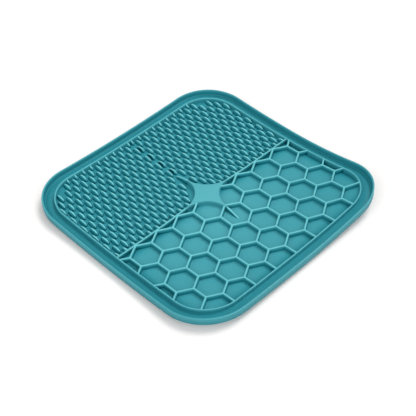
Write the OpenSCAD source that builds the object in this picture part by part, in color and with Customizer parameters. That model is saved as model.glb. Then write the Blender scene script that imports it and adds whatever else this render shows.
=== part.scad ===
// A square silicone lick mat. It is one soft moulding: a thin sheet with a raised rim, an overflow
// channel, a framed treat area, a star at the middle, a field of upright blades on the left half
// and a honeycomb of cells on the right half.
// Every length is in millimetres. The origin is at the middle of the underside and +Z is up.
// The ridge between the two halves runs along Y, and the honeycomb is on the +X side.

/* [Sheet] */
// Width and depth of the mat
mat_w = 200; // [170:1:240]
// Radius of the mat's corners
mat_corner_r = 37.5; // [33:0.5:50]
// Thickness of the sheet
sheet_t = 1.3; // [0.8:0.1:3]

/* [Rim and frame] */
// Thickness of the outer rim
rim_t = 1.4; // [0.8:0.1:3]
// Height of the outer rim above the sheet
rim_h = 4.7; // [3:0.1:8]
// Width of the overflow channel between the rim and the frame
channel_w = 7.6; // [5:0.1:11]
// Thickness of the frame around the treat area
frame_t = 1.2; // [0.8:0.1:2.5]
// Height of the frame and of the honeycomb ribs above the sheet
frame_h = 3.9; // [2.5:0.1:6]
// Outer radius of the frame's corners
frame_corner_r = 29.5; // [20:0.5:32]

/* [Ridge and star] */
// Thickness of the ridge between the two halves
ridge_t = 1.2; // [0.8:0.1:2.5]
// Height of the star's top above the frame's top
star_rise = 0.2; // [0:0.1:3]
// Distance from the middle of the mat to where the star's arms become straight
star_reach = 21; // [15:0.5:26]
// Distance from the middle of the mat to the ends of the two short arms
arm_reach = 34.2; // [28:0.1:38]

/* [Honeycomb] */
// Distance across the flats of one cell, from rib to rib
cell_pitch = 21; // [16:0.5:28]
// Thickness of a rib
rib_t = 1.4; // [0.8:0.1:2]

/* [Blades] */
// Length of a blade along its foot
blade_len = 9.2; // [6:0.1:10]
// Height of a blade above the sheet
blade_h = 3.2; // [1.5:0.1:3.9]
// Thickness of a blade
blade_t = 1.5; // [0.8:0.1:2]
// Distance between the blades of one row
blade_pitch = 12.65; // [11:0.05:16]
// Distance between one row of blades and the next
row_pitch = 3.9; // [3:0.1:6]
// Distance from the middle of the mat to the middle of the first blade
blade_start = 2.4; // [1:0.1:4]
// Least gap between a blade and the star, its arms or a wall beside it
blade_gap = 1; // [0.5:0.1:1.4]

/* [Hidden] */

// Colours of the silicone: floors, walls and tops in one teal
teal = [0.16, 0.56, 0.61];
pale_teal = [0.28, 0.67, 0.71];
deep_teal = [0.09, 0.46, 0.50];

// Levels above the underside
frame_top = sheet_t + frame_h;
star_top = frame_top + star_rise;

// Half widths of the frame's outer face and of the treat area inside it
frame_half = mat_w / 2 - rim_t - channel_w;
area_half = frame_half - frame_t;
area_corner_r = frame_corner_r - frame_t;

// The star's hollow sides are arcs that run into the arms without a step
star_arc_r = star_reach - ridge_t / 2;

// Side of one hexagon, and the face of the ridge where the first cells begin
cell_side = cell_pitch / sqrt(3);
comb_x = ridge_t / 2;

// Outlines of the two short arms from the star to the tip, as shares of their length and height
arm_left_shares = [[0, 0], [1, 0], [0.98, 0.2], [0.88, 0.42], [0.7, 0.66], [0.48, 0.83], [0, 1]];
arm_right_shares = [[0, 0], [0.94, 0], [0.93, 0.12], [0.82, 0.27], [0.56, 0.54], [0.28, 0.80], [0, 1]];

// A blade's top is an arc through both ends of its foot
blade_r = (blade_len * blade_len / 4 + blade_h * blade_h) / (2 * blade_h);

// Smoothness of the arcs
$fn = 96;

// Blades start half a row from the middle line, and the last row keeps the gap to the frame
row_count = floor((area_half - blade_t / 2 - blade_gap) / row_pitch + 0.5);
column_count = ceil(area_half / blade_pitch) + 1;

// Enough cells to cover the treat area
cell_columns = ceil(area_half / (1.5 * cell_side)) + 1;
cell_rows = ceil(area_half / cell_pitch) + 1;

// Distance of a point from the corner arcs' centres, zero beside the straight sides
function corner_reach(p, half, r) = norm([max(abs(p.x) - half + r, 0), max(abs(p.y) - half + r, 0)]);

// True where a point is inside the treat area by more than a margin
function in_area(p, margin) =
    max(abs(p.x), abs(p.y)) < area_half - margin
    && corner_reach(p, area_half, area_corner_r) < area_corner_r - margin;

// True where a point is outside the star by more than a margin
function off_star(p, margin) =
    max(abs(p.x), abs(p.y)) > star_reach
    || norm([star_reach - abs(p.x), star_reach - abs(p.y)]) < star_arc_r - margin;

// A square with round corners, centred on the origin
module round_square(half, r) {
    square([2 * half, 2 * (half - r)], center = true);
    square([2 * (half - r), 2 * half], center = true);
    for (sx = [-1, 1], sy = [-1, 1])
        translate([sx * (half - r), sy * (half - r)]) circle(r);
}

// The star's footprint: a square with a round bite out of each corner
module star_outline() {
    difference() {
        square(2 * star_reach, center = true);
        for (sx = [-1, 1], sy = [-1, 1])
            translate([sx * star_reach, sy * star_reach]) circle(star_arc_r);
    }
}

// Footprint of one short arm: side is -1 for the left one and 1 for the right one
module arm_outline(side) {
    translate([side * (star_reach + arm_reach) / 2, 0])
        square([arm_reach - star_reach, ridge_t], center = true);
}

// The half of the treat area on one side of the ridge, clear of the star: side is -1 left, 1 right
module half_area(side) {
    difference() {
        intersection() {
            round_square(area_half, area_corner_r);
            translate([side * (ridge_t / 2 + area_half / 2), 0])
                square([area_half, 2 * area_half], center = true);
        }
        star_outline();
    }
}

module base_sheet() {
    color(teal) linear_extrude(sheet_t) round_square(mat_w / 2, mat_corner_r);
}

module outer_rim() {
    color(pale_teal) translate([0, 0, sheet_t]) linear_extrude(rim_h) difference() {
        round_square(mat_w / 2, mat_corner_r);
        round_square(mat_w / 2 - rim_t, mat_corner_r - rim_t);
    }
}

module frame_wall() {
    color(pale_teal) translate([0, 0, sheet_t]) linear_extrude(frame_h) difference() {
        round_square(frame_half, frame_corner_r);
        round_square(area_half, area_corner_r);
    }
}

module centre_star() {
    color(pale_teal) translate([0, 0, sheet_t]) linear_extrude(star_top - sheet_t) star_outline();
}

// The long arm from the star to the frame: its top falls from the star's level to the frame's
module ridge(side) {
    color(pale_teal) translate([-ridge_t / 2, 0, 0]) rotate([90, 0, 90]) linear_extrude(ridge_t)
        polygon([
            [side * star_reach, sheet_t],
            [side * area_half, sheet_t],
            [side * area_half, frame_top],
            [side * star_reach, star_top]
        ]);
}

module ridge_back() { ridge(1); }
module ridge_front() { ridge(-1); }

// A short arm whose top curves down from the star to the floor at its tip
module arm(side, shares) {
    color(pale_teal) translate([0, ridge_t / 2, 0]) rotate([90, 0, 0]) linear_extrude(ridge_t)
        polygon([for (s = shares) [
            side * (star_reach + s[0] * (arm_reach - star_reach)),
            sheet_t + s[1] * (star_top - sheet_t)
        ]]);
}

module arm_left() { arm(-1, arm_left_shares); }
module arm_right() { arm(1, arm_right_shares); }

// One rib between two corners of the honeycomb, with ends mitred to meet two others at each corner
module rib(a, b) {
    run = norm(b - a);
    tip = rib_t / (2 * sqrt(3));
    translate([a.x, a.y, sheet_t]) rotate([0, 0, atan2(b.y - a.y, b.x - a.x)]) linear_extrude(frame_h)
        polygon([
            [0, 0],
            [tip, -rib_t / 2],
            [run - tip, -rib_t / 2],
            [run, 0],
            [run - tip, rib_t / 2],
            [tip, rib_t / 2]
        ]);
}

// Corner of the honeycomb from its column and its place along Y, in half cells
function comb_point(x_sides, half_cells) = [comb_x + x_sides * cell_side, half_cells * cell_pitch / 2];

// A rib is kept where one of its ends is on open floor
function rib_stands(a, b) =
    (in_area(a, rib_t) && off_star(a, rib_t)) || (in_area(b, rib_t) && off_star(b, rib_t));

// All ribs of one direction, cut to the right half: turn is 0 along X, 1 rising, -1 falling
module ribs(turn) {
    color(deep_teal) intersection() {
        for (c = [0 : cell_columns - 1], k = [-cell_rows : cell_rows]) {
            half = 2 * k + 1 - c % 2;
            a = comb_point(1.5 * c + (turn == 0 ? 0.5 : 0), turn == 0 ? half + 1 : half);
            b = comb_point(1.5 * c + (turn == 0 ? 1.5 : 0.5), half + (turn == 0 ? 1 : turn));
            if (rib_stands(a, b)) rib(a, b);
        }
        translate([0, 0, sheet_t]) linear_extrude(frame_h) difference() {
            half_area(1);
            arm_outline(1);
        }
    }
}

module ribs_across() { ribs(0); }
module ribs_rising() { ribs(1); }
module ribs_falling() { ribs(-1); }

// One blade: a slice of a disc that stands on the sheet
module blade(x, y) {
    translate([x, y, sheet_t]) intersection() {
        translate([0, 0, blade_h - blade_r]) rotate([90, 0, 0])
            cylinder(h = blade_t, r = blade_r, center = true);
        translate([-blade_len / 2, -blade_t, 0]) cube([blade_len, 2 * blade_t, blade_h]);
    }
}

// Middle of the part of a blade that shows between the ridge and the frame
function blade_middle(x) =
    (max(x - blade_len / 2, -area_half) + min(x + blade_len / 2, -ridge_t / 2)) / 2;

// A blade is kept where it is clear of the star, its short arm and the frame's corners
function blade_stands(x, y) =
    let (p = [blade_middle(x), y], beside_arm = abs(y) < ridge_t / 2 + blade_t / 2 + blade_gap)
    in_area(p, blade_gap)
    && off_star(p, blade_gap)
    && !(beside_arm && abs(x) - blade_len / 2 < arm_reach);

// All blades on one side of the middle line: side is 1 at the back, -1 at the front
module blades(side) {
    color(deep_teal) intersection() {
        for (k = [0 : row_count - 1], j = [0 : column_count - 1]) {
            x = -blade_start - blade_pitch * (j + (k % 2) / 2);
            y = side * row_pitch * (k + 0.5);
            if (blade_stands(x, y)) blade(x, y);
        }
        translate([0, 0, sheet_t]) linear_extrude(blade_h) half_area(-1);
    }
}

module blades_back() { blades(1); }
module blades_front() { blades(-1); }

base_sheet();
outer_rim();
frame_wall();
centre_star();
ridge_back();
ridge_front();
arm_left();
arm_right();
ribs_across();
ribs_rising();
ribs_falling();
blades_back();
blades_front();
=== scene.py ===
# %% [markdown]
# # A silicone lick mat
#
# The mat is one soft teal moulding: a thin sheet with a raised rim, an overflow channel, a frame
# round the treat area, a star in the middle, rows of upright blades on one half and a honeycomb on
# the other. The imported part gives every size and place. Here each form is made again with the
# rounded tops and the small fillets that moulded silicone has, and gets a satin material.

import math

import bmesh
import bpy
import numpy as np
from mathutils import Matrix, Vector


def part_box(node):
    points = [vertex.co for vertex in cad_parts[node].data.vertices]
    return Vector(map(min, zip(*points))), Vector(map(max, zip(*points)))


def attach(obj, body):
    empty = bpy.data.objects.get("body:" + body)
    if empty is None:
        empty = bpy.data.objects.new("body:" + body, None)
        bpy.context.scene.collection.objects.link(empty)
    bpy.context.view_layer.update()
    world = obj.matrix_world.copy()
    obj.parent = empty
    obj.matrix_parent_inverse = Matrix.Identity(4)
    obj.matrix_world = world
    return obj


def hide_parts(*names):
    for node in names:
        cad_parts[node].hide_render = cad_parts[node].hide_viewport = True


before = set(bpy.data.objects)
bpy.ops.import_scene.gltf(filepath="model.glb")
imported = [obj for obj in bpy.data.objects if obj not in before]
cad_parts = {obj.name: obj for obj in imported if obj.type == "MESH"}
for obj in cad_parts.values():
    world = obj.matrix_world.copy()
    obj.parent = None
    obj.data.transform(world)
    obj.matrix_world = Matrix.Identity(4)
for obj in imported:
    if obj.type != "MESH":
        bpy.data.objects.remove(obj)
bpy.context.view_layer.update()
print("nodes in the frame:", sorted(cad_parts))

# %% [markdown]
# ## Sizes
#
# Lengths are in millimetres here, because a moulding's walls and fillets are drawn in them. A mesh
# is turned to metres when it is made. What the frame's boxes can tell is read from them, and the
# rest repeats the source's own driving sizes.

# %% Read the sizes from the frame
MM_PER_M = 1000.0


def corners(node):
    """Lowest and highest corner of a node, in millimetres."""
    low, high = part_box(node)
    return np.array(low) * MM_PER_M, np.array(high) * MM_PER_M


mat_half = corners("base_sheet")[1][0]
floor_z = corners("base_sheet")[1][2]
rim_z = corners("outer_rim")[1][2]
frame_half = corners("frame_wall")[1][0]
frame_z = corners("frame_wall")[1][2]
area_half = corners("ridge_back")[1][1]
star_reach = corners("centre_star")[1][0]
star_z = corners("centre_star")[1][2]
ridge_half = corners("ridge_back")[1][0]
arm_reach = -corners("arm_left")[0][0]
blade_z = corners("blades_back")[1][2]
frame_t = frame_half - area_half
star_arc_r = star_reach - ridge_half
print(f"mat {2 * mat_half:.1f} mm, floor {floor_z:.2f}, frame {frame_z:.2f}, rim {rim_z:.2f}, "
      f"star {star_z:.2f}, blades {blade_z:.2f}")

# %% Sizes that a box can't tell
mat_corner_r = 37.5
rim_t = 1.4
frame_corner_r = 29.5
cell_pitch = 21.0  # from the middle of one rib to the middle of the opposite one
cell_side = cell_pitch / math.sqrt(3)
rib_t = 1.4
blade_len = 9.2
blade_t = 1.5
blade_pitch = 12.65
blade_start = 2.4  # from the middle of the ridge to the middle of the first blade
blade_gap = 1.0  # least room between a blade and the wall or arm that it stops at
row_pitch = 3.9
hidden = 0.1  # how far a foot reaches into what carries it, out of sight
print(f"one cell is {cell_pitch} mm across and {cell_side:.2f} mm on a side")

# %% [markdown]
# ## Shader and field maths in Python
#
# Materials and Geometry Nodes both work out numbers with Math nodes. Wrapping a socket in a small
# class lets an expression such as `1 - mask * 0.3` add those nodes, which is far easier to read
# than links.

# %% A socket that can be used in sums


class Wire:
    """One output socket of a node tree, which adds Math nodes when it is used in a sum."""

    def __init__(self, tree, socket):
        self.tree = tree
        self.socket = socket

    def node(self, kind, settings=None, inputs=None, output=0):
        """Adds any node. Settings are set first, then inputs by name or number."""
        made = self.tree.nodes.new(kind)
        for name, value in (settings or {}).items():
            setattr(made, name, value)
        for name, value in (inputs or {}).items():
            if isinstance(value, Wire):
                self.tree.links.new(value.socket, made.inputs[name])
            else:
                made.inputs[name].default_value = value
        return Wire(self.tree, made.outputs[output])

    def math(self, operation, other=None):
        """One Math node on this value and, where it takes two, another."""
        inputs = {0: self} if other is None else {0: self, 1: other}
        return self.node("ShaderNodeMath", {"operation": operation}, inputs)

    def flipped(self, operation, other):
        """One Math node with this value as the second."""
        return self.node("ShaderNodeMath", {"operation": operation}, {0: other, 1: self})

    def __add__(self, other):
        return self.math("ADD", other)

    def __radd__(self, other):
        return self.math("ADD", other)

    def __sub__(self, other):
        return self.math("SUBTRACT", other)

    def __rsub__(self, other):
        return self.flipped("SUBTRACT", other)

    def __mul__(self, other):
        return self.math("MULTIPLY", other)

    def __rmul__(self, other):
        return self.math("MULTIPLY", other)

    def __truediv__(self, other):
        return self.math("DIVIDE", other)

    def __rtruediv__(self, other):
        return self.flipped("DIVIDE", other)

    def __lt__(self, other):
        return self.math("LESS_THAN", other)

    def __gt__(self, other):
        return self.math("GREATER_THAN", other)

    def __abs__(self):
        return self.math("ABSOLUTE")


print("socket maths ready")

# %% [markdown]
# ## The silicone
#
# Pigmented silicone is satin, not glossy: it has a broad soft sheen and no mirror image. Light
# enters thin ribs and blades from all sides, so their tops look pale, and it hardly reaches the
# crevices at their feet, which look dark. Scattering inside the material could show that, but it
# is slow and an exported model loses it. So that light and shade are painted into the colour:
# every mesh carries a painted light value, -1 in a crevice, 0 on the plain body of the moulding
# and 1 at a thin top. The colour runs from a painted shade teal through the body's own teal to a
# painted light teal along it, and the sheen fades out in the crevices. A painted pool of light
# makes a broad patch round the middle slightly paler, a fine mottling varies colour and gloss, and
# a very low bump stands for the mould's lightly blasted surface.

# %% Choose the silicone's colours and finish
# Painted shade in the crevices, the silicone's own body colour, and painted light on thin tops.
painted_shade_teal = (0.0, 0.095, 0.130, 1)
body_teal = (0.022, 0.290, 0.350, 1)
painted_light_teal = (0.190, 0.680, 0.735, 1)
silicone_ior = 1.43
body_roughness = 0.55
specular_level = 0.05
sheen_level = 0.7
sheen_roughness = 0.45
sheen_start = -0.6  # painted light value at which the sheen begins
sheen_gain = 1.4  # how fast it grows with the painted light value
# A painted pool of light: the middle of the mat is painted paler.
light_pool_centre = (0.0, -10.0)
light_pool_width = 75.0
light_pool_level = 0.14
cloud_scale = 45.0
cloud_detail = 3.0
cloud_level = 0.10
grain_scale = 1500.0
grain_detail = 2.0
grain_level = 0.14
grain_gloss = 0.08
bump_depth_m = 0.00008
bump_strength = 0.12
print("body colour:", body_teal[:3])

# %% Make the silicone material


def make_silicone():
    material = bpy.data.materials.new("teal_silicone")
    material.use_nodes = True
    tree = material.node_tree
    shader = tree.nodes["Principled BSDF"]
    place = Wire(tree, tree.nodes.new("ShaderNodeTexCoord").outputs["Object"])
    # The painted light and shade that every mesh carries.
    painted_light = place.node("ShaderNodeAttribute", {"attribute_name": "painted_light"}, output="Fac")
    cloudy, grain = (
        place.node("ShaderNodeTexNoise", None, {"Vector": place, "Scale": scale, "Detail": detail})
        for scale, detail in ((cloud_scale, cloud_detail), (grain_scale, grain_detail)))
    x, y = (place.node("ShaderNodeSeparateXYZ", None, {0: place}, axis) for axis in (0, 1))
    # The painted pool of light round the middle of the mat.
    x, y = x - light_pool_centre[0] / MM_PER_M, y - light_pool_centre[1] / MM_PER_M
    light_pool = ((x * x + y * y) * -(MM_PER_M / light_pool_width) ** 2).math("EXPONENT")
    shade = (painted_light + (light_pool - 0.5) * light_pool_level
             + (cloudy - 0.5) * cloud_level + (grain - 0.5) * grain_level)
    # A Mix node that mixes colours has them at inputs 6 and 7, and its result is output 2.
    mix = {"data_type": "RGBA"}
    lower = place.node("ShaderNodeMix", mix, {0: shade + 1, 6: painted_shade_teal, 7: body_teal}, 2)
    colour = place.node("ShaderNodeMix", mix, {0: shade, 6: lower, 7: painted_light_teal}, 2)
    roughness = body_roughness + (cloudy - 0.5) * cloud_level + (grain - 0.5) * grain_gloss
    bump = place.node("ShaderNodeBump", None, {
        "Strength": bump_strength, "Distance": bump_depth_m, "Height": grain})
    sheen = ((painted_light - sheen_start) * sheen_gain).math("MINIMUM", 1).math("MAXIMUM", 0)
    tree.links.new(colour.socket, shader.inputs["Base Color"])
    tree.links.new((sheen * sheen_level).socket, shader.inputs["Coat Weight"])
    tree.links.new(roughness.socket, shader.inputs["Roughness"])
    tree.links.new(bump.socket, shader.inputs["Normal"])
    shader.inputs["IOR"].default_value = silicone_ior
    shader.inputs["Coat IOR"].default_value = silicone_ior
    shader.inputs["Coat Roughness"].default_value = sheen_roughness
    shader.inputs["Specular IOR Level"].default_value = specular_level
    return material


silicone = make_silicone()
print("material:", silicone.name)

# %% [markdown]
# ## From rows of points to a mesh
#
# Walls, rims and ridges are all one thing to a modeller: a small cross-section carried along a
# path. So one helper takes rows of points and skins them, and the pieces below only say where the
# points are.

# %% Skin rows of points
merge_m = 1e-6  # points closer than this become one
sliver_m = 1e-7  # an edge shorter than this has no length


def crest_of(z, low, high):
    """0 up to one height, 1 from another and in between a straight climb."""
    return np.clip((np.asarray(z, float) - low) / (high - low), 0, 1)


def make_mesh(name, points, faces, painted_light):
    """A smooth mesh object in metres, with faces outwards and the painted light value on its points."""
    mesh = bpy.data.meshes.new(name)
    mesh.from_pydata((np.asarray(points, float) / MM_PER_M).tolist(), [], faces)
    values = mesh.attributes.new("painted_light", "FLOAT", "POINT").data
    values.foreach_set("value", np.asarray(painted_light, np.float32))
    thing = bpy.data.objects.new(name, mesh)
    bpy.context.scene.collection.objects.link(thing)
    shape = bmesh.new()
    shape.from_mesh(mesh)
    bmesh.ops.remove_doubles(shape, verts=shape.verts, dist=merge_m)
    bmesh.ops.dissolve_degenerate(shape, edges=shape.edges, dist=sliver_m)
    bmesh.ops.recalc_face_normals(shape, faces=shape.faces)
    shape.to_mesh(mesh)
    shape.free()
    mesh.shade_smooth()
    mesh.materials.append(silicone)
    return thing


def skin_faces(rows, columns, round_rows=False, round_columns=False):
    """Quads between neighbouring rows of points, numbered row by row."""
    faces = []
    for r in range(rows if round_rows else rows - 1):
        for c in range(columns if round_columns else columns - 1):
            a, b = r * columns, (r + 1) % rows * columns
            d = (c + 1) % columns
            faces.append((a + c, a + d, b + d, b + c))
    return faces


print("skin helper ready")

# %% [markdown]
# ## The round-cornered square
#
# The sheet, the rim and the frame all follow a square with round corners. A step inwards makes the
# square and its corner radius smaller by the same amount, so rows of points at different insets
# match.

# %% Walk round a square with round corners
ARC_STEPS = 18
SIDE_STEPS = 14
QUARTER_STEPS = 5


def square_path(half, radius, inset=0.0):
    """Points round the square, counterclockwise, at an inset from its outline."""
    core = half - radius
    r = radius - inset
    points = []
    for side in range(4):
        turn = side * math.pi / 2
        sx = round(math.cos(turn) - math.sin(turn))
        sy = round(math.sin(turn) + math.cos(turn))
        for step in range(ARC_STEPS + 1):
            angle = turn + step / ARC_STEPS * math.pi / 2
            points.append((sx * core + r * math.cos(angle), sy * core + r * math.sin(angle)))
        last = points[-1]
        ahead = turn + math.pi / 2
        run = np.array((-math.sin(ahead), math.cos(ahead))) * 2 * core
        for step in range(1, SIDE_STEPS):
            share = step / SIDE_STEPS
            points.append((last[0] + run[0] * share, last[1] + run[1] * share))
    return np.array(points)


def sweep(half, radius, section):
    """Rows of points for a cross-section of (inset, height) carried round the square."""
    rows = []
    for inset, z in section:
        path = square_path(half, radius, inset)
        rows.append(np.column_stack([path, np.full(len(path), z)]))
    return np.array(rows)


def quarter(centre, radius, start, steps=QUARTER_STEPS):
    """Points of a quarter circle in a cross-section, anticlockwise from an angle in degrees."""
    angles = np.radians(start + 90 * np.arange(steps + 1) / steps)
    return [(centre[0] + radius * math.cos(a), centre[1] + radius * math.sin(a)) for a in angles]


print("points round the mat:", len(square_path(mat_half, mat_corner_r)))

# %% [markdown]
# ## The sheet
#
# The sheet is a thin round-cornered slab with a softened lower edge. Loops of points run inwards
# over its top and its underside, close enough together to follow the curl that the mat gets at the
# end. Two parts of its top stay in sight, the channel's floor and the floor between the blades,
# and each has its own painted shade.

# %% Make the sheet
sheet_edge_r = 0.4
# Painted shade of the channel's floor and of the floor between the blades.
channel_crest = -0.04
area_crest = 0.0
INNER_LOOPS = 19
inner_shares = tuple(np.linspace(0.95, 0.05, INNER_LOOPS).round(3))


def make_sheet():
    edge = quarter((sheet_edge_r, sheet_edge_r), sheet_edge_r, 180)[::-1]
    rows = list(sweep(mat_half, mat_corner_r, edge + [(0.0, floor_z)]))
    under = [rows[0] * (s, s, 1) for s in inner_shares[::-1]]
    over = [rows[-1] * (s, s, 1) for s in inner_shares]
    rows = under + rows + over
    columns = len(rows[0])
    points = np.concatenate(rows + [[(0, 0, 0)], [(0, 0, floor_z)]])
    faces = skin_faces(len(rows), columns, round_columns=True)
    low, high = len(points) - 2, len(points) - 1
    last = (len(rows) - 1) * columns
    for c in range(columns):
        d = (c + 1) % columns
        faces.append((low, d, c))
        faces.append((high, last + c, last + d))
    outside = np.abs(points[:, :2]).max(1) > frame_half
    return make_mesh("sheet", points, faces, np.where(outside, channel_crest, area_crest))


sheet = make_sheet()
print("sheet:", len(sheet.data.polygons), "faces")

# %% [markdown]
# ## The rim and the frame
#
# Both are walls carried round the square. The rim has a round lip and stands on a wide fillet that
# makes the channel a soft trough. Its outer face gets light from the white floor, so it is painted
# paler at its foot than the inner one, and both are painted paler towards the lip. The frame is
# lower and thinner, with small fillets at both feet, and only its rounded top gets a painted
# highlight.

# %% Make the rim
lip_r = rim_t / 2
rim_draft = 0.15
channel_fillet = 1.4
FILLET_STEPS = 8
outer_face_depth = 0.01  # a point with less inset is on the rim's outer face
# Painted light at the foot of the outer face, painted shade at the foot of the inner face, and a
# painted highlight at the lip.
rim_outer_crest = 0.11
rim_inner_crest = -0.15
rim_top_crest = 0.34
rim_pale_start = 1.5  # height above the sheet from which the rim is painted paler


def make_rim():
    fillet_x = rim_t + rim_draft + channel_fillet
    section = [(0.0, floor_z), (0.0, floor_z + (rim_z - lip_r - floor_z) / 2), (0.0, rim_z - lip_r)]
    section += quarter((lip_r, rim_z - lip_r), lip_r, 90)[::-1][1:]
    section += quarter((lip_r, rim_z - lip_r), lip_r, 0)[::-1][1:]
    section += quarter((fillet_x, floor_z + channel_fillet), channel_fillet, 180, FILLET_STEPS)
    section += [(fillet_x, floor_z - hidden), (hidden, floor_z - hidden)]
    rows = sweep(mat_half, mat_corner_r, section)
    points = rows.reshape(-1, 3)
    faces = skin_faces(rows.shape[0], rows.shape[1], True, True)
    outer = np.repeat([inset < outer_face_depth for inset, z in section], rows.shape[1])
    foot_crest = np.where(outer, rim_outer_crest, rim_inner_crest)
    climb = crest_of(points[:, 2], floor_z + rim_pale_start, rim_z)
    return make_mesh("rim", points, faces, foot_crest + (rim_top_crest - foot_crest) * climb)


rim = make_rim()
print("rim:", len(rim.data.polygons), "faces")

# %% Make the frame
wall_edge_r = 0.5
outer_fillet = 0.5
inner_fillet = 0.5
pale_depth = 1.2  # how far below a wall's top its painted highlight starts
# Painted highlight on the frame's rounded top.
frame_top_crest = 0.52


def make_frame():
    top = frame_z - wall_edge_r
    section = quarter((-outer_fillet, floor_z + outer_fillet), outer_fillet, 270)
    section += quarter((wall_edge_r, top), wall_edge_r, 90)[::-1]
    section += quarter((frame_t - wall_edge_r, top), wall_edge_r, 0)[::-1]
    section += quarter((frame_t + inner_fillet, floor_z + inner_fillet), inner_fillet, 180)
    section += [(frame_t + inner_fillet, floor_z - hidden), (-outer_fillet, floor_z - hidden)]
    rows = sweep(frame_half, frame_corner_r, section)
    points = rows.reshape(-1, 3)
    faces = skin_faces(rows.shape[0], rows.shape[1], True, True)
    climb = crest_of(points[:, 2], frame_z - pale_depth, frame_z)
    return make_mesh("frame", points, faces, frame_top_crest * climb)


frame_piece = make_frame()
print("frame:", len(frame_piece.data.polygons), "faces")

# %% [markdown]
# ## The star, its long arms and its short arms
#
# The star's hollow sides are arcs that run straight into the arms, so star and arms share one
# cross-section: a fillet at the foot, an upright face and a rounded top edge. The star's top is
# broad, so its painted highlight is weaker than on the thin arms, whose sides get painted shade
# for the shade of their neighbours.

# %% Make the star
top_edge_r = 0.45
foot_fillet = 0.8
# Painted highlight on the star's top.
star_top_crest = 0.32
STAR_STEPS = 20


def star_rows():
    """Loops of points from the foot of the star's sides to its flat top."""
    foot = quarter((-foot_fillet, foot_fillet), foot_fillet, 270)
    edge = quarter((top_edge_r, -top_edge_r), top_edge_r, 90)[::-1]
    section = [(x, floor_z + z) for x, z in foot] + [(x, star_z + z) for x, z in edge]
    loops = []
    for step_in, height in section:
        r = star_arc_r + step_in
        loop = []
        for sx, sy in ((1, 1), (-1, 1), (-1, -1), (1, -1)):
            arc = []
            for step in range(STAR_STEPS + 1):
                angle = math.pi * (1.5 - 0.5 * step / STAR_STEPS)
                x, y = star_reach + r * math.cos(angle), star_reach + r * math.sin(angle)
                arc.append((sx * x, sy * y, height))
            loop += arc if sx * sy > 0 else arc[::-1]
        loops.append(np.array(loop))
    return loops


def make_star():
    loops = star_rows()
    loops = [loops[0] - (0, 0, hidden)] + loops
    loops += [loops[-1] * (s, s, 1) for s in inner_shares[1:]]
    columns = len(loops[0])
    points = np.concatenate(loops + [[(0, 0, star_z)]])
    faces = skin_faces(len(loops), columns, round_columns=True)
    last = (len(loops) - 1) * columns
    for c in range(columns):
        faces.append((len(points) - 1, last + c, last + (c + 1) % columns))
    faces.append(tuple(range(columns))[::-1])
    climb = crest_of(points[:, 2], frame_z - pale_depth, frame_z)
    return make_mesh("star", points, faces, climb * star_top_crest)


star = make_star()
print("star:", len(star.data.polygons), "faces")

# %% Make an arm along any line
least_rise = 0.05  # keeps an arm's tip from having no height
round_share = 0.45  # a fillet or a rounded edge takes at most this share of an arm's height
# Depths below an arm's top where its painted highlight ends and its painted shade begins.
arm_pale_depth = 0.5
arm_shade_step = 0.1
arm_crests = (0.75, 0.3, -0.7)  # painted light at the top and at the end of the pale edge, painted shade on the sides


def arm_rows(stations, direction):
    """Cross-sections at (distance, top height, half width) along a direction from the middle."""
    along = np.array(direction, float)
    across = np.array((along[1], -along[0]))
    rows = []
    for distance, top, half_width in stations:
        rise = max(top - floor_z, least_rise)
        foot = min(foot_fillet, round_share * rise)
        edge = min(top_edge_r, round_share * rise)
        right = quarter((half_width + foot, floor_z + foot), foot, 180)
        left = [(-x, z) for x, z in right[::-1]]
        crown_left = quarter((-half_width + edge, top - edge), edge, 90)[::-1]
        crown_right = quarter((half_width - edge, top - edge), edge, 0)[::-1]
        section = left + crown_left + crown_right + right
        low_z = floor_z - hidden
        section = [(left[0][0], low_z)] + section + [(right[-1][0], low_z)]
        rows.append([(*(along * distance + across * x), z) for x, z in section])
    return np.array(rows)


def make_arm(name, stations, direction):
    rows = arm_rows(stations, direction)
    points = rows.reshape(-1, 3)
    columns = rows.shape[1]
    faces = skin_faces(len(rows), columns, round_columns=True)
    faces.append(tuple(range(columns)))
    faces.append(tuple(range(len(points) - columns, len(points)))[::-1])
    depth = rows[:, :, 2].max(1).repeat(columns) - points[:, 2]
    depths = (0, arm_pale_depth, arm_pale_depth + arm_shade_step)
    return make_mesh(name, points, faces, np.interp(depth, depths, arm_crests))


print("arm helpers ready")

# %% Make the four arms
LONG_ARM_STEPS = 16
SHORT_ARM_STEPS = 14
short_arm_half = 0.68
tip_crowding = 1.5  # above 1, the cross-sections crowd towards the tip
nose_power = 12  # a higher power makes the nose blunter
least_nose = 0.04  # keeps the nose from having no width
# How a short arm falls: (share of its length, share of the star's height above the floor).
left_shares = ((0, 1), (0.48, 0.83), (0.7, 0.66), (0.88, 0.42), (0.98, 0.2), (1, 0.02))
right_shares = ((0, 1), (0.28, 0.8), (0.56, 0.54), (0.82, 0.27), (0.93, 0.12), (0.94, 0.02))


def long_arm(name, side):
    """An arm from the star to the frame, which falls evenly to the frame's height."""
    stations = []
    for step in range(LONG_ARM_STEPS + 1):
        share = step / LONG_ARM_STEPS
        distance = star_reach + share * (area_half + frame_t / 2 - star_reach)
        stations.append((distance, star_z + share * (frame_z - star_z), ridge_half))
    return make_arm(name, stations, (0, side))


def short_arm(name, side, fall_shares):
    """An arm that falls to the floor along a curve and ends in a round nose."""
    stations = []
    for step in range(SHORT_ARM_STEPS + 1):
        walked = step / SHORT_ARM_STEPS
        share = fall_shares[-1][0] * (1 - (1 - walked) ** tip_crowding)
        height = float(np.interp(share, *zip(*fall_shares)))
        distance = star_reach + share * (arm_reach - star_reach)
        top = floor_z + height * (star_z - floor_z)
        nose = max(1 - walked ** nose_power, least_nose) ** 0.5
        stations.append((distance, top, short_arm_half * nose))
    return make_arm(name, stations, (side, 0))


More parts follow.
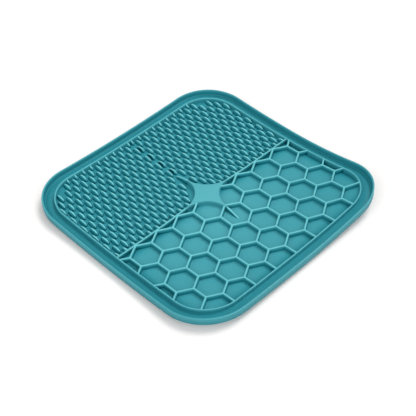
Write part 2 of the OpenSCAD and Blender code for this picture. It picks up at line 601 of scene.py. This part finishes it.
arms = [
    long_arm("long_arm_back", 1),
    long_arm("long_arm_front", -1),
    short_arm("short_arm_left", -1, left_shares),
    short_arm("short_arm_right", 1, right_shares),
]
print("arms:", [len(a.data.polygons) for a in arms])

# %% [markdown]
# ## Planting one shape on a staggered lattice
#
# The honeycomb's cells and the blades both repeat on a lattice whose lines are shifted by half a
# pitch. Geometry Nodes plants them: a grid of points is shifted, thinned out by a rule, and a
# shape stands on every point that is left. Realize Instances turns the copies into one real mesh,
# and Merge by Distance joins them where they touch.

# %% Begin and end a planting tree
seam_m = 2e-6  # points of neighbouring copies that are closer than this become one


def new_tree(name, inputs):
    """A Geometry Nodes tree with named inputs, and the wire of each."""
    tree = bpy.data.node_groups.new(name, "GeometryNodeTree")
    for label, kind in inputs.items():
        tree.interface.new_socket(label, in_out="INPUT", socket_type=kind)
    tree.interface.new_socket("Geometry", in_out="OUTPUT", socket_type="NodeSocketGeometry")
    entry = tree.nodes.new("NodeGroupInput")
    tree.nodes.new("NodeGroupOutput")
    return tree, {label: Wire(tree, entry.outputs[label]) for label in inputs}


def finish_tree(tree, points, shape, material):
    """Stands the shape on the points and ends in one real mesh with its material."""
    source = shape.node("GeometryNodeObjectInfo", None, {"Object": shape}, "Geometry")
    copies = points.node("GeometryNodeInstanceOnPoints", None, {
        "Points": points, "Instance": source})
    real = copies.node("GeometryNodeRealizeInstances", None, {"Geometry": copies})
    merged = real.node("GeometryNodeMergeByDistance", None, {
        "Geometry": real, "Distance": seam_m})
    done = merged.node("GeometryNodeSetMaterial", None, {
        "Geometry": merged, "Material": material})
    out = next(n for n in tree.nodes if n.bl_idname == "NodeGroupOutput")
    tree.links.new(done.socket, out.inputs["Geometry"])


print("tree helpers ready")

# %% Run a planting tree


def grow(name, tree, values):
    """Runs a tree with the given inputs and returns the result as a plain mesh object."""
    host = bpy.data.objects.new(name, bpy.data.meshes.new(name))
    bpy.context.scene.collection.objects.link(host)
    modifier = host.modifiers.new("planting", "NODES")
    modifier.node_group = tree
    ids = {s.name: s.identifier for s in tree.interface.items_tree if s.in_out == "INPUT"}
    for label, value in values.items():
        modifier[ids[label]] = value
    graph = bpy.context.evaluated_depsgraph_get()
    mesh = bpy.data.meshes.new_from_object(host.evaluated_get(graph))
    host.modifiers.remove(modifier)
    host.data = mesh
    return host


print("planting helper ready")

# %% [markdown]
# ## Trimming and shading what was planted
#
# A lattice doesn't know where the mat's walls are, so its skin runs past them. The cut could be a
# boolean, but those are slow and leave ragged edges on a thin skin. Instead, points beyond a wall
# are drawn back to its middle, where they are out of sight. Once a shape stands in its place, its
# painted light value can also paint the shade that falls there.

# %% Trim a mesh and change its painted light values


def trim_to_area(thing, side):
    """Draws points beyond the frame or the ridge into that wall and drops faces that are past it."""
    radius = frame_corner_r - frame_t / 2
    core = area_half + frame_t / 2 - radius
    mesh = thing.data
    points = np.empty(len(mesh.vertices) * 3)
    mesh.vertices.foreach_get("co", points)
    points = points.reshape(-1, 3) * MM_PER_M
    near = np.clip(points[:, :2], -core, core)
    away = points[:, :2] - near
    reach = np.linalg.norm(away, axis=1)
    inner = ridge_half / 2
    beyond = (reach > radius) | (points[:, 0] * side < inner)
    pull = np.minimum(1, radius / np.maximum(reach, radius))
    points[:, :2] = near + away * pull[:, None]
    points[:, 0] = side * np.maximum(points[:, 0] * side, inner)
    mesh.vertices.foreach_set("co", (points / MM_PER_M).ravel())
    shape = bmesh.new()
    shape.from_mesh(mesh)
    shape.verts.ensure_lookup_table()
    lost = [f for f in shape.faces if all(beyond[v.index] for v in f.verts)]
    bmesh.ops.delete(shape, geom=lost, context="FACES")
    bmesh.ops.dissolve_degenerate(shape, edges=shape.edges, dist=sliver_m)
    shape.to_mesh(mesh)
    shape.free()
    return thing


def change_painted_light(thing, rule):
    """Gives a mesh new painted light values by a rule on x, y, z in millimetres and the old values."""
    count = len(thing.data.vertices)
    points, painted_light = np.empty(count * 3), np.empty(count)
    thing.data.vertices.foreach_get("co", points)
    values = thing.data.attributes["painted_light"].data
    values.foreach_get("value", painted_light)
    values.foreach_set("value", rule(*(points.reshape(-1, 3).T * MM_PER_M), painted_light))


print("trimming helpers ready")

# %% [markdown]
# ## One cell of the honeycomb
#
# Each cell is a shallow cup with a softly rounded hexagon for its outline. Its outer loop runs
# along the middle of the ribs' tops, so neighbouring cups join into a continuous skin with rounded
# crests, upright walls and a fillet round each floor. A narrow line of painted shade runs along
# that fillet.

# %% Walk round a hexagon with round corners
CORNER_STEPS = 4
FLAT_STEPS = 3


def hexagon_loop(inset, corner_r, z):
    """A hexagon at an inset inside the lattice, with the same number of points at any inset."""
    apothem = cell_pitch / 2 - inset
    centre = (apothem - corner_r) / math.cos(math.pi / 6)
    loop = []
    for k in range(6):
        heading = math.radians(60 * k)
        for step in range(CORNER_STEPS + 1):
            angle = heading + math.radians(-30 + 60 * step / CORNER_STEPS)
            loop.append((centre * math.cos(heading) + corner_r * math.cos(angle),
                         centre * math.sin(heading) + corner_r * math.sin(angle), z))
        ahead = heading + math.radians(60)
        start = np.array(loop[-1][:2])
        end = np.array((centre * math.cos(ahead) + corner_r * math.cos(ahead - math.pi / 6),
                        centre * math.sin(ahead) + corner_r * math.sin(ahead - math.pi / 6)))
        for step in range(1, FLAT_STEPS):
            loop.append((*(start + (end - start) * step / FLAT_STEPS), z))
    return loop


print("points round a cell:", len(hexagon_loop(0, 0, 0)))

# %% Make the cell
rib_edge_r = 0.35
cell_corner_r = 0.9
cell_draft = 0.06
cell_fillet = 0.45
cell_fillet_corner_r = 1.2
cell_floor_corner_r = 1.6
cell_floor_insets = (3.2, 5.2, 7.4)
CUP_STEPS = 6
cup_foot_band = 0.12  # height of the painted shade line's lower edge above the cup's floor
# Painted light and shade of a cell: its floor, the painted shade at its foot, its wall and the painted
# highlight on the rib's top.
cup_floor_crest = 0.17
cup_foot_crest = -0.48
cup_wall_crest = -0.15
rib_top_crest = 0.72


def make_cell():
    half = rib_t / 2
    loops = [hexagon_loop(0, 0, frame_z)]
    crown = quarter((half - rib_edge_r, frame_z - rib_edge_r), rib_edge_r, 0)[::-1]
    for inset, z in crown:
        loops.append(hexagon_loop(inset, cell_corner_r + half - inset, z))
    cup_z = floor_z + hidden
    middle = (half + cell_draft + cell_fillet, cup_z + cell_fillet)
    for inset, z in quarter(middle, cell_fillet, 180, CUP_STEPS):
        loops.append(hexagon_loop(inset, cell_fillet_corner_r, z))
    for inset in cell_floor_insets:
        loops.append(hexagon_loop(inset, cell_floor_corner_r, cup_z))
    columns = len(loops[0])
    points = np.concatenate([np.array(loop) for loop in loops] + [[(0, 0, cup_z)]])
    faces = [f[::-1] for f in skin_faces(len(loops), columns, round_columns=True)]
    last = (len(loops) - 1) * columns
    for c in range(columns):
        faces.append((len(points) - 1, last + c, last + (c + 1) % columns))
    heights = (cup_z, cup_z + cup_foot_band, cup_z + cell_fillet, frame_z - pale_depth, frame_z)
    crests = (cup_floor_crest, cup_foot_crest, cup_foot_crest, cup_wall_crest, rib_top_crest)
    return make_mesh("cell", points, faces, np.interp(points[:, 2], heights, crests))


cell = make_cell()
print("one cell:", len(cell.data.polygons), "faces")

# %% [markdown]
# ## The honeycomb
#
# The tree below makes the lattice of cells: columns one and a half sides apart, every second one
# shifted by half a cell. The skin is then trimmed to the frame and the ridge. The small part cells
# along those walls are deep pockets that little light gets into, so their floors are darker.

# %% Build the tree that plants cells
CELL_INPUTS = {
    "Shape": "NodeSocketObject", "Material": "NodeSocketMaterial",
    "Columns": "NodeSocketInt", "Rows": "NodeSocketInt",
    "Column pitch": "NodeSocketFloat", "Row pitch": "NodeSocketFloat",
    "First column": "NodeSocketFloat",
}


def cell_tree():
    tree, wires = new_tree("plant_cells", CELL_INPUTS)
    columns, rows = wires["Columns"], wires["Rows"]
    pitch_x, pitch_y = wires["Column pitch"], wires["Row pitch"]
    grid = columns.node("GeometryNodeMeshGrid", None, {
        "Size X": (columns - 1) * pitch_x, "Size Y": (rows - 1) * pitch_y,
        "Vertices X": columns, "Vertices Y": rows})
    spot = grid.node("GeometryNodeInputPosition")
    x = spot.node("ShaderNodeSeparateXYZ", None, {0: spot}, 0)
    column = ((x + (columns - 1) * pitch_x * 0.5) / pitch_x + 0.5).math("FLOOR")
    shift_y = column.math("MODULO", 2) * pitch_y * 0.5
    shift_x = wires["First column"] + (columns - 1) * pitch_x * 0.5
    offset = spot.node("ShaderNodeCombineXYZ", None, {0: shift_x, 1: shift_y})
    placed = grid.node("GeometryNodeSetPosition", None, {"Geometry": grid, "Offset": offset})
    finish_tree(tree, placed, wires["Shape"], wires["Material"])
    return tree


planting_cells = cell_tree()
print("nodes in the tree:", len(planting_cells.nodes))

# %% Plant the cells
# Painted shade in the pockets along the frame and the ridge.
pocket_shade = 1.1
pocket_reach = 2.2
pocket_height = 1.0
cell_columns = 7
cell_rows = 11


def pocket_rule(x, y, z, painted_light):
    """Painted shade where a floor runs up to the frame or the ridge."""
    clear = np.minimum(np.minimum(area_half - x, area_half - abs(y)), x - ridge_half)
    low = z < floor_z + pocket_height
    return painted_light - pocket_shade * low * np.exp(-np.clip(clear, 0, None) / pocket_reach)


honeycomb = trim_to_area(grow("honeycomb", planting_cells, {
    "Shape": cell, "Material": silicone, "Columns": cell_columns, "Rows": cell_rows,
    "Column pitch": 1.5 * cell_side / MM_PER_M, "Row pitch": cell_pitch / MM_PER_M,
    "First column": (ridge_half - cell_side / 2) / MM_PER_M,
}), 1)
change_painted_light(honeycomb, pocket_rule)
bpy.data.objects.remove(cell)
print("honeycomb:", len(honeycomb.data.polygons), "faces")

# %% [markdown]
# ## The blades
#
# Each blade is a slice of a disc with a rounded crest, slim at its top and spread like a leaf at
# its foot, as soft moulding draws it. Only the top edge gets a painted highlight. Painted shade
# darkens the flanks towards the foot, and darkens the ends, which run out at the floor, most. So a
# blade of under a hundred faces reads like a scale with its own painted shadow.

# %% Choose the blade's form and its painted light and shade
BLADE_STEPS = 8
blade_foot_t = 3.4
blade_crown_t = 1.4
blade_flank_share = 0.4
leaf_power = 4  # a higher power keeps the foot wide for longer
crown_power = 3
least_width = 0.02  # keeps a blade's ends from having no width
least_top = 0.03  # and no height
crown_share = 0.6  # the rounded top takes at most this share of the height
foot_lip = 0.04  # height above the floor of the foot's outer edge
# Painted shade and highlight at the buried base, the foot, the flank, the shoulder, the upper edge and
# the top.
blade_crests = (-1.3, -1.3, -0.3, 0.15, 0.85, 1.35)
# Painted shade at the ends of a blade.
blade_end_shade = 1.1
end_power = 6  # a higher power keeps the painted shade closer to the ends
print(f"one blade: {blade_len} mm long, {blade_z - floor_z:.2f} mm high, {blade_foot_t} mm at its foot")

# %% Make one blade


def make_blade():
    height = blade_z - floor_z
    half_len = blade_len / 2
    rows = []
    for step in range(BLADE_STEPS + 1):
        x = -half_len * math.cos(math.pi * step / BLADE_STEPS)
        off = abs(x / half_len)
        top = max(height * (1 - off ** 2) ** 0.5, least_top)
        foot = blade_foot_t / 2 * max(1 - off ** leaf_power, least_width) ** 0.5
        crown = blade_crown_t / 2 * max(1 - off ** crown_power, least_width) ** 0.5
        edge = min(crown, crown_share * top)
        flank_y = foot + (crown - foot) * blade_flank_share
        flank_z = (top - edge) * blade_flank_share
        row = [(x, -foot - hidden, -hidden), (x, -foot, foot_lip), (x, -flank_y, flank_z)]
        row += [(x, crown * math.cos(a), top - edge + edge * math.sin(a))
                for a in np.radians((180, 135, 90, 45, 0))]
        row += [(x, flank_y, flank_z), (x, foot, foot_lip), (x, foot + hidden, -hidden)]
        rows.append(row)
    rows = np.array(rows)
    points = rows.reshape(-1, 3) + (0, 0, floor_z)
    columns = rows.shape[1]
    faces = skin_faces(len(rows), columns, round_columns=True)
    faces.append(tuple(range(columns)))
    faces.append(tuple(range(len(points) - columns, len(points)))[::-1])
    painted_light = np.tile(blade_crests + blade_crests[-2::-1], len(rows))
    painted_light -= blade_end_shade * np.abs(points[:, 0] / half_len) ** end_power
    return make_mesh("blade", points, faces, painted_light)


blade = make_blade()
print("one blade:", len(blade.data.polygons), "faces")

# %% [markdown]
# ## The bladed half
#
# The blades stand in staggered rows that mirror about the middle line, and keep clear of the star
# and its short arm. The tree shifts every second row, works out where each blade would lie and
# drops those that would cross a wall. One tree serves both sides, with its Side input at 1 or -1.

# %% Shift every second row of blades
BLADE_INPUTS = {
    "Shape": "NodeSocketObject", "Material": "NodeSocketMaterial",
    "Columns": "NodeSocketInt", "Rows": "NodeSocketInt",
    "Blade pitch": "NodeSocketFloat", "Row pitch": "NodeSocketFloat", "Start": "NodeSocketFloat",
    "Blade length": "NodeSocketFloat", "Gap": "NodeSocketFloat", "Side": "NodeSocketFloat",
    "Area half": "NodeSocketFloat", "Area corner": "NodeSocketFloat",
    "Star reach": "NodeSocketFloat", "Star arc": "NodeSocketFloat",
    "Arm reach": "NodeSocketFloat", "Arm clearance": "NodeSocketFloat",
}


def stagger(wires):
    """A grid of points with every second row shifted, on one side of the middle line."""
    columns, rows = wires["Columns"], wires["Rows"]
    pitch_x, pitch_y = wires["Blade pitch"], wires["Row pitch"]
    grid = columns.node("GeometryNodeMeshGrid", None, {
        "Size X": (columns - 1) * pitch_x, "Size Y": (rows - 1) * pitch_y,
        "Vertices X": columns, "Vertices Y": rows})
    spot = grid.node("GeometryNodeInputPosition")
    y = spot.node("ShaderNodeSeparateXYZ", None, {0: spot}, 1)
    row = ((y + (rows - 1) * pitch_y * 0.5) / pitch_y + 0.5).math("FLOOR")
    row_shift = row.math("MODULO", 2) * pitch_x * -0.5
    offset_x = row_shift - wires["Start"] - (columns - 1) * pitch_x * 0.5
    offset_y = (rows - 1) * pitch_y * 0.5 + pitch_y * 0.5
    new_y = (y + offset_y) * wires["Side"]
    offset = spot.node("ShaderNodeCombineXYZ", None, {0: offset_x, 1: new_y - y})
    return grid.node("GeometryNodeSetPosition", None, {"Geometry": grid, "Offset": offset})


print("inputs of the tree:", len(BLADE_INPUTS))

# %% Find the blades that cross a wall


def length_of(x, y):
    """Length of a step along X and Y together."""
    return (x * x + y * y).math("SQRT")


def crosses_a_wall(wires, spot):
    """1 where a blade would cross the frame, the star or the short arm, and 0 elsewhere."""
    x, y = (abs(spot.node("ShaderNodeSeparateXYZ", None, {0: spot}, axis)) for axis in (0, 1))
    gap, half_len = wires["Gap"], wires["Blade length"] * 0.5
    half, corner, star_end = wires["Area half"], wires["Area corner"], wires["Star reach"]
    # A blade is judged by the middle of what lies in the area, from its near end to the frame.
    near = (x - half_len).math("MAXIMUM", 0)
    middle = (near + (x + half_len).math("MINIMUM", half)) * 0.5
    over_x = (middle - half + corner).math("MAXIMUM", 0)
    over_y = (y - half + corner).math("MAXIMUM", 0)
    in_corner = length_of(over_x, over_y) > corner - gap
    past_side = middle.math("MAXIMUM", y) > half - gap
    in_bite = length_of(star_end - middle, star_end - y) < wires["Star arc"] - gap
    in_square = middle.math("MAXIMUM", y) < star_end
    on_star = in_square * (1 - in_bite)
    by_arm = (y < wires["Arm clearance"]) * (near < wires["Arm reach"])
    return (in_corner + past_side + on_star + by_arm) > 0.5


print("wall test ready")

# %% Build the tree that plants blades


def blade_tree():
    tree, wires = new_tree("plant_blades", BLADE_INPUTS)
    placed = stagger(wires)
    lost = crosses_a_wall(wires, placed.node("GeometryNodeInputPosition"))
    kept = placed.node("GeometryNodeDeleteGeometry", {"domain": "POINT"}, {
        "Geometry": placed, "Selection": lost})
    finish_tree(tree, kept, wires["Shape"], wires["Material"])
    return tree


planting_blades = blade_tree()
print("nodes in the tree:", len(planting_blades.nodes))

# %% [markdown]
# ## Planting the blades
#
# The two rows that face each other over the middle line are mirror images, so they aren't
# staggered, and a narrow slit stays open between each pair of blades. On the real mat it is nearly
# black there, in deep shade, and a rule on the painted light value paints that shade in.

# %% Plant the blades
slit_foot = 0.58  # from the middle of a blade to where the painted shade of the slit in front of it begins
slit_half = row_pitch / 2 - slit_foot
slit_crest = -1.0
blade_lengths = {
    "Blade pitch": blade_pitch, "Row pitch": row_pitch, "Start": blade_start,
    "Blade length": blade_len, "Gap": blade_gap, "Area half": area_half,
    "Area corner": frame_corner_r - frame_t, "Star reach": star_reach, "Star arc": star_arc_r,
    "Arm reach": arm_reach, "Arm clearance": ridge_half + blade_t / 2 + blade_gap,
}
blade_values = {
    "Shape": blade, "Material": silicone, "Columns": int(area_half / blade_pitch) + 1,
    "Rows": int((area_half - blade_t / 2 - blade_gap) / row_pitch + 0.5),
    **{label: value / MM_PER_M for label, value in blade_lengths.items()},
}


def slit_rule(x, y, z, painted_light):
    """Painted shade in the slits along the middle line."""
    return np.where(abs(y) < slit_half, slit_crest, painted_light)


blades = []
for name, side in (("blades_behind", 1.0), ("blades_before", -1.0)):
    planted = grow(name, planting_blades, {**blade_values, "Side": side})
    blades.append(trim_to_area(planted, -1))
    change_painted_light(planted, slit_rule)
bpy.data.objects.remove(blade)
print("blade faces:", [len(b.data.polygons) for b in blades])

# %% [markdown]
# ## How the mat lies
#
# A silicone mat that was packed doesn't lie quite flat. Its corners curl up a few millimetres, the
# far one most, its sides a little, and its middle stands off the floor like a low dome. A cloth
# simulation could find such a form, but not this one, so a few smooth terms give it. The same lift
# is added to every piece, so that what meets stays together.

# %% Let the corners curl up
corner_lifts = {(1, 1): 10.6, (-1, 1): 3.45, (-1, -1): 2.85, (1, -1): 3.05}
side_lifts = {(1, 0): 2.9, (-1, 0): 2.2, (0, 1): 0.4, (0, -1): 1.2}
middle_lift = 2.2
middle_width = 30.0


def lift_at(x, y):
    """Height that the sheet is lifted by at a place, in millimetres."""
    total = middle_lift * np.exp(-(x ** 2 + y ** 2) / middle_width ** 2)
    for (sx, sy), height in side_lifts.items():
        total += height * np.clip((sx * x + sy * y) / mat_half, 0, None) ** 2
    for (sx, sy), height in corner_lifts.items():
        u = np.clip(sx * x / mat_half, 0, None)
        v = np.clip(sy * y / mat_half, 0, None)
        total += height * (u * v) ** 2
    return total


pieces = [sheet, rim, frame_piece, star, *arms, honeycomb, *blades]
for piece in pieces:
    points = np.empty(len(piece.data.vertices) * 3)
    piece.data.vertices.foreach_get("co", points)
    points = points.reshape(-1, 3)
    points[:, 2] += lift_at(points[:, 0] * MM_PER_M, points[:, 1] * MM_PER_M) / MM_PER_M
    piece.data.vertices.foreach_set("co", points.ravel())
    piece.data.shade_smooth()
    piece.data.update()
print("highest point:", round(max(v.co.z for v in rim.data.vertices) * MM_PER_M, 2), "mm")

# %% [markdown]
# ## Which piece stands for which node
#
# Nothing on the mat moves, so every piece rides on the one body. Each piece says which solids it
# shows, and those are hidden.

# %% Ride and replace
stands_for = {
    "sheet": ("base_sheet",), "rim": ("outer_rim",), "frame": ("frame_wall",),
    "star": ("centre_star",), "long_arm_back": ("ridge_back",), "long_arm_front": ("ridge_front",),
    "short_arm_left": ("arm_left",), "short_arm_right": ("arm_right",),
    "honeycomb": ("ribs_across", "ribs_rising", "ribs_falling"),
    "blades_behind": ("blades_back",), "blades_before": ("blades_front",),
}
for piece in pieces:
    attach(piece, "root")
    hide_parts(*stands_for[piece.name])
print("pieces:", {p.name: len(p.data.polygons) for p in pieces})

# %% [markdown]
# ## Camera
#
# The photograph looks down on one corner of the mat from about 44 degrees, with the honeycomb
# nearest. A long lens keeps the far side nearly as large as the near side. Camera and lamps are
# both placed by a heading and a height angle, so they share a helper.

# %% Turn something to the mat


def view_axes(azimuth, elevation):
    """Right, up and back of something that looks at the mat, from two angles in degrees."""
    az, el = math.radians(azimuth), math.radians(elevation)
    back = np.array((math.sin(az) * math.cos(el), -math.cos(az) * math.cos(el), math.sin(el)))
    right = np.array((math.cos(az), math.sin(az), 0.0))
    return right, np.cross(back, right), back


def stand(thing, right, up, back, place):
    """Puts a camera or a lamp in the scene at a place in metres, turned to those axes."""
    bpy.context.scene.collection.objects.link(thing)
    turn = Matrix(np.column_stack([right, up, back]).tolist())
    thing.matrix_world = Matrix.Translation(place.tolist()) @ turn.to_4x4()
    return thing


print("placing helpers ready")

# %% Place the camera
camera_azimuth = 47.24
camera_elevation = 44.28
camera_roll = -2.80
camera_distance = 691.3
camera_target = (10.83, -9.72, 5.2)
camera_lens = 79.73
camera_sensor = 36.0


def place_camera():
    right, up, back = view_axes(camera_azimuth, camera_elevation)
    roll = math.radians(camera_roll)
    right, up = (right * math.cos(roll) + up * math.sin(roll),
                 up * math.cos(roll) - right * math.sin(roll))
    data = bpy.data.cameras.new("camera")
    data.lens = camera_lens
    data.sensor_width = camera_sensor
    place = (np.array(camera_target) + back * camera_distance) / MM_PER_M
    return stand(bpy.data.objects.new("camera", data), right, up, back, place)


camera = place_camera()
bpy.context.scene.camera = camera
print("camera at", [round(v, 3) for v in camera.location])

# %% [markdown]
# ## Floor
#
# The mat lies on a white floor. For rays from the camera alone the floor is brighter and glows
# faintly, so its lit part shows as plain white and only the soft shadow close to the mat is left.
# It lights the mat from below like a normal pale floor. Its slightly warm tint makes up for the
# teal light that the mat throws on it.

# %% Make the floor
floor_half = 3.0
floor_level = 0.80
seen_level = 0.98
floor_glow = 0.08
floor_tint = (1.0, 0.965, 0.95)
floor_roughness = 0.9


def make_floor():
    mesh = bpy.data.meshes.new("floor")
    s = floor_half
    mesh.from_pydata([(-s, -s, 0), (s, -s, 0), (s, s, 0), (-s, s, 0)], [], [(0, 1, 2, 3)])
    floor = bpy.data.objects.new("floor", mesh)
    bpy.context.scene.collection.objects.link(floor)
    material = bpy.data.materials.new("white_floor")
    material.use_nodes = True
    tree = material.node_tree
    shader = tree.nodes["Principled BSDF"]
    shader.inputs["Roughness"].default_value = floor_roughness
    shader.inputs["Specular IOR Level"].default_value = 0.0
    shader.inputs["Emission Strength"].default_value = 1.0
    seen = Wire(tree, tree.nodes.new("ShaderNodeLightPath").outputs["Is Camera Ray"])
    level = seen * (seen_level - floor_level) + floor_level
    glow = seen * floor_glow
    white = seen.node("ShaderNodeCombineColor", None, {0: glow, 1: glow, 2: glow})
    grey = seen.node("ShaderNodeCombineColor", None, {
        channel: level * tint for channel, tint in enumerate(floor_tint)})
    tree.links.new(white.socket, shader.inputs["Emission Color"])
    tree.links.new(grey.socket, shader.inputs["Base Color"])
    mesh.materials.append(material)
    return floor


floor = make_floor()
print("floor:", floor_half * 2, "m square")

# %% [markdown]
# ## Light
#
# Three wide suns and an even white sky light the mat, so every shadow has a soft edge. The key
# stands high up behind the mat, so the walls that face the camera are darker than the floors. The
# fill comes from the front and keeps those walls teal, and a weaker sun from the right models the
# ends of the blades. The camera sees the sky plain white, whatever light the sky gives.

# %% Light the scene
sky_level = 0.40
suns = {  # heading, height angle, strength and width, with the angles in degrees
    "key": (176.0, 61.0, 1.38, 30.0),
    "fill": (8.0, 35.0, 0.90, 40.0),
    "side": (95.0, 35.0, 0.62, 40.0),
}


def make_sky():
    world = bpy.data.worlds.new("sky")
    bpy.context.scene.world = world
    world.use_nodes = True
    tree = world.node_tree
    dim = tree.nodes["Background"]
    dim.inputs["Color"].default_value = (1, 1, 1, 1)
    dim.inputs["Strength"].default_value = sky_level
    sky = Wire(tree, dim.outputs[0])
    white = sky.node("ShaderNodeBackground", None, {"Color": (1, 1, 1, 1), "Strength": 1.0})
    camera_ray = sky.node("ShaderNodeLightPath", output="Is Camera Ray")
    mixed = sky.node("ShaderNodeMixShader", None, {0: camera_ray, 1: sky, 2: white})
    tree.links.new(mixed.socket, tree.nodes["World Output"].inputs["Surface"])


def make_sun(name, azimuth, elevation, level, angle):
    data = bpy.data.lights.new(name, "SUN")
    data.energy = level
    data.angle = math.radians(angle)
    right, up, back = view_axes(azimuth, elevation)
    return stand(bpy.data.objects.new(name, data), right, up, back, back)


make_sky()
lamps = [make_sun(name, *values) for name, values in suns.items()]
bpy.context.scene.view_settings.view_transform = "Standard"
print("lamps:", [lamp.name for lamp in lamps])
